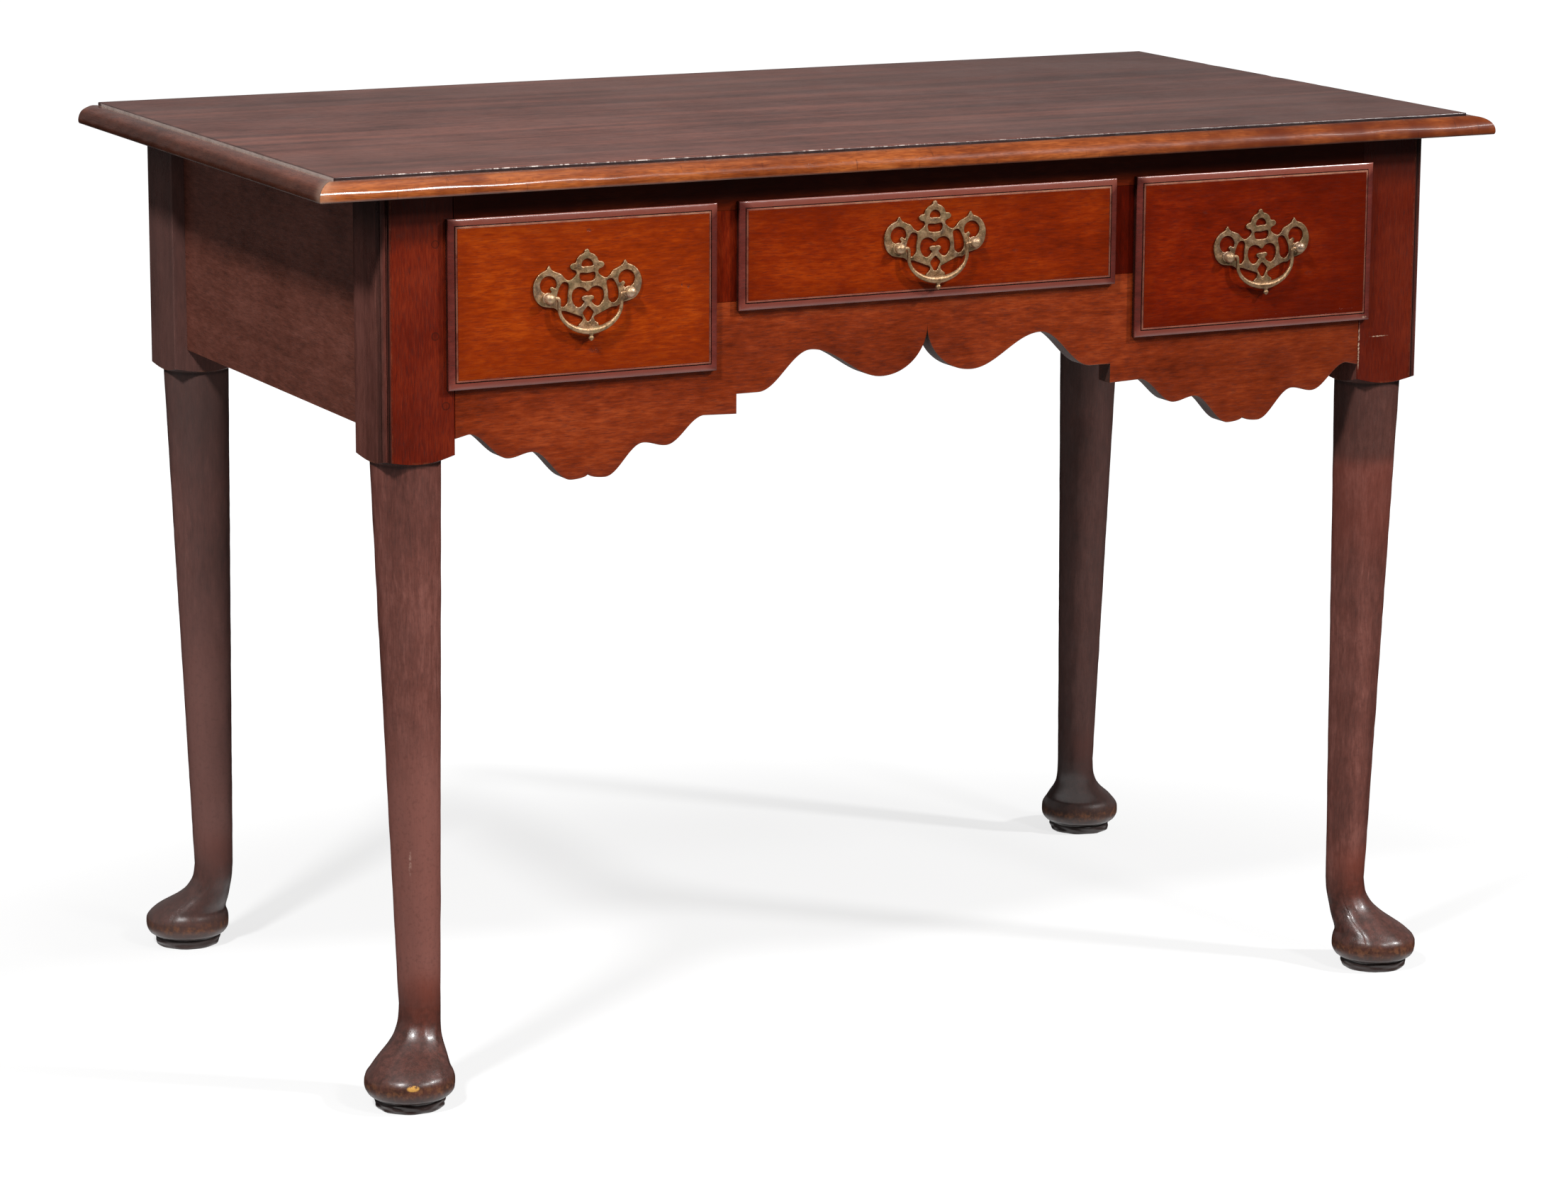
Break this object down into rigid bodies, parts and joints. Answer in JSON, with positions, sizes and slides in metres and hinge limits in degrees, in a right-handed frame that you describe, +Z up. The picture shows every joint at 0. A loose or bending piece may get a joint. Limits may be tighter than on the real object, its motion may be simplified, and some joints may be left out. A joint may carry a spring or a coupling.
{
  "type": "dressing table",
  "caption": "Dressing table with a moulded top, shallow middle drawer between deep side drawers, shaped apron, and turned tapering legs on pad feet, with swinging brass bail handles.",
  "frame": {"origin": "on the floor, midway between the four legs, which is the bottom centre of the bounding box", "axes": "+Z up, +X to the right of someone who faces the drawers, -Y out of the drawer fronts"},
  "size_m": [1.04, 0.5728, 0.729],
  "materials": {
    "mahogany_top": "dark purple-brown polished mahogany with long streaked grain, worn satin",
    "mahogany_edge": "orange-brown polished mahogany moulding, rubbed on its edge",
    "mahogany_front": "red-orange polished mahogany with fine flecked grain",
    "mahogany_dark": "dark brown-purple polished mahogany, satin, rubbed at the feet",
    "oak_inside": "dry unpolished oak, matt",
    "aged_brass": "cast brass with a dull olive patina, brighter on its high edges"
  },
  "bodies": {
    "carcase": {"apron": "mahogany_front", "back_panel": "oak_inside", "drawer_divider_left": "mahogany_front", "drawer_divider_right": "mahogany_front", "front_top_rail": "mahogany_front", "kicker_centre": "oak_inside", "kicker_left": "oak_inside", "kicker_right": "oak_inside", "leg_back_left": "mahogany_dark", "leg_back_right": "mahogany_dark", "leg_front_left": "mahogany_dark", "leg_front_right": "mahogany_dark", "partition_left": "oak_inside", "partition_right": "oak_inside", "runner_centre_left": "oak_inside", "runner_centre_right": "oak_inside", "runner_left_inner": "oak_inside", "runner_left_outer": "oak_inside", "runner_right_inner": "oak_inside", "runner_right_outer": "oak_inside", "side_panel_left": "mahogany_dark", "side_panel_right": "mahogany_dark", "top_board": "mahogany_top", "top_cleat_left": "oak_inside", "top_cleat_right": "oak_inside", "top_moulding_front": "mahogany_edge", "top_moulding_left": "mahogany_edge", "top_moulding_right": "mahogany_edge"},
    "drawer_left": {"drawer_left_front": "mahogany_front", "drawer_left_moulding": "mahogany_dark", "drawer_left_side_left": "oak_inside", "drawer_left_side_right": "oak_inside", "drawer_left_back": "oak_inside", "drawer_left_bottom": "oak_inside", "handle_left_plate": "aged_brass", "handle_left_post_left": "aged_brass", "handle_left_post_right": "aged_brass"},
    "bail_left": {"handle_left_bail": "aged_brass"},
    "drawer_centre": {"drawer_centre_front": "mahogany_front", "drawer_centre_moulding": "mahogany_dark", "drawer_centre_side_left": "oak_inside", "drawer_centre_side_right": "oak_inside", "drawer_centre_back": "oak_inside", "drawer_centre_bottom": "oak_inside", "handle_centre_plate": "aged_brass", "handle_centre_post_left": "aged_brass", "handle_centre_post_right": "aged_brass"},
    "bail_centre": {"handle_centre_bail": "aged_brass"},
    "drawer_right": {"drawer_right_front": "mahogany_front", "drawer_right_moulding": "mahogany_dark", "drawer_right_side_left": "oak_inside", "drawer_right_side_right": "oak_inside", "drawer_right_back": "oak_inside", "drawer_right_bottom": "oak_inside", "handle_right_plate": "aged_brass", "handle_right_post_left": "aged_brass", "handle_right_post_right": "aged_brass"},
    "bail_right": {"handle_right_bail": "aged_brass"}
  },
  "joints": [
    {"name": "drawer_left_slide", "type": "slide", "parent": "carcase", "child": "drawer_left", "axis": [0, -1, 0], "range_m": [0, 0.32]},
    {"name": "drawer_centre_slide", "type": "slide", "parent": "carcase", "child": "drawer_centre", "axis": [0, -1, 0], "range_m": [0, 0.32]},
    {"name": "drawer_right_slide", "type": "slide", "parent": "carcase", "child": "drawer_right", "axis": [0, -1, 0], "range_m": [0, 0.32]},
    {"name": "bail_left_swing", "type": "hinge", "parent": "drawer_left", "child": "bail_left", "pos_m": [-0.29785, -0.2715, 0.62875], "axis": [-0.9998, 0, -0.0175], "range_deg": [0, 170]},
    {"name": "bail_centre_swing", "type": "hinge", "parent": "drawer_centre", "child": "bail_centre", "pos_m": [0.002, -0.2715, 0.649], "axis": [-0.9998, 0, -0.0175], "range_deg": [0, 170]},
    {"name": "bail_right_swing", "type": "hinge", "parent": "drawer_right", "child": "bail_right", "pos_m": [0.30425, -0.2715, 0.62525], "axis": [-0.9982, 0, -0.0593], "range_deg": [0, 170]}
  ]
}
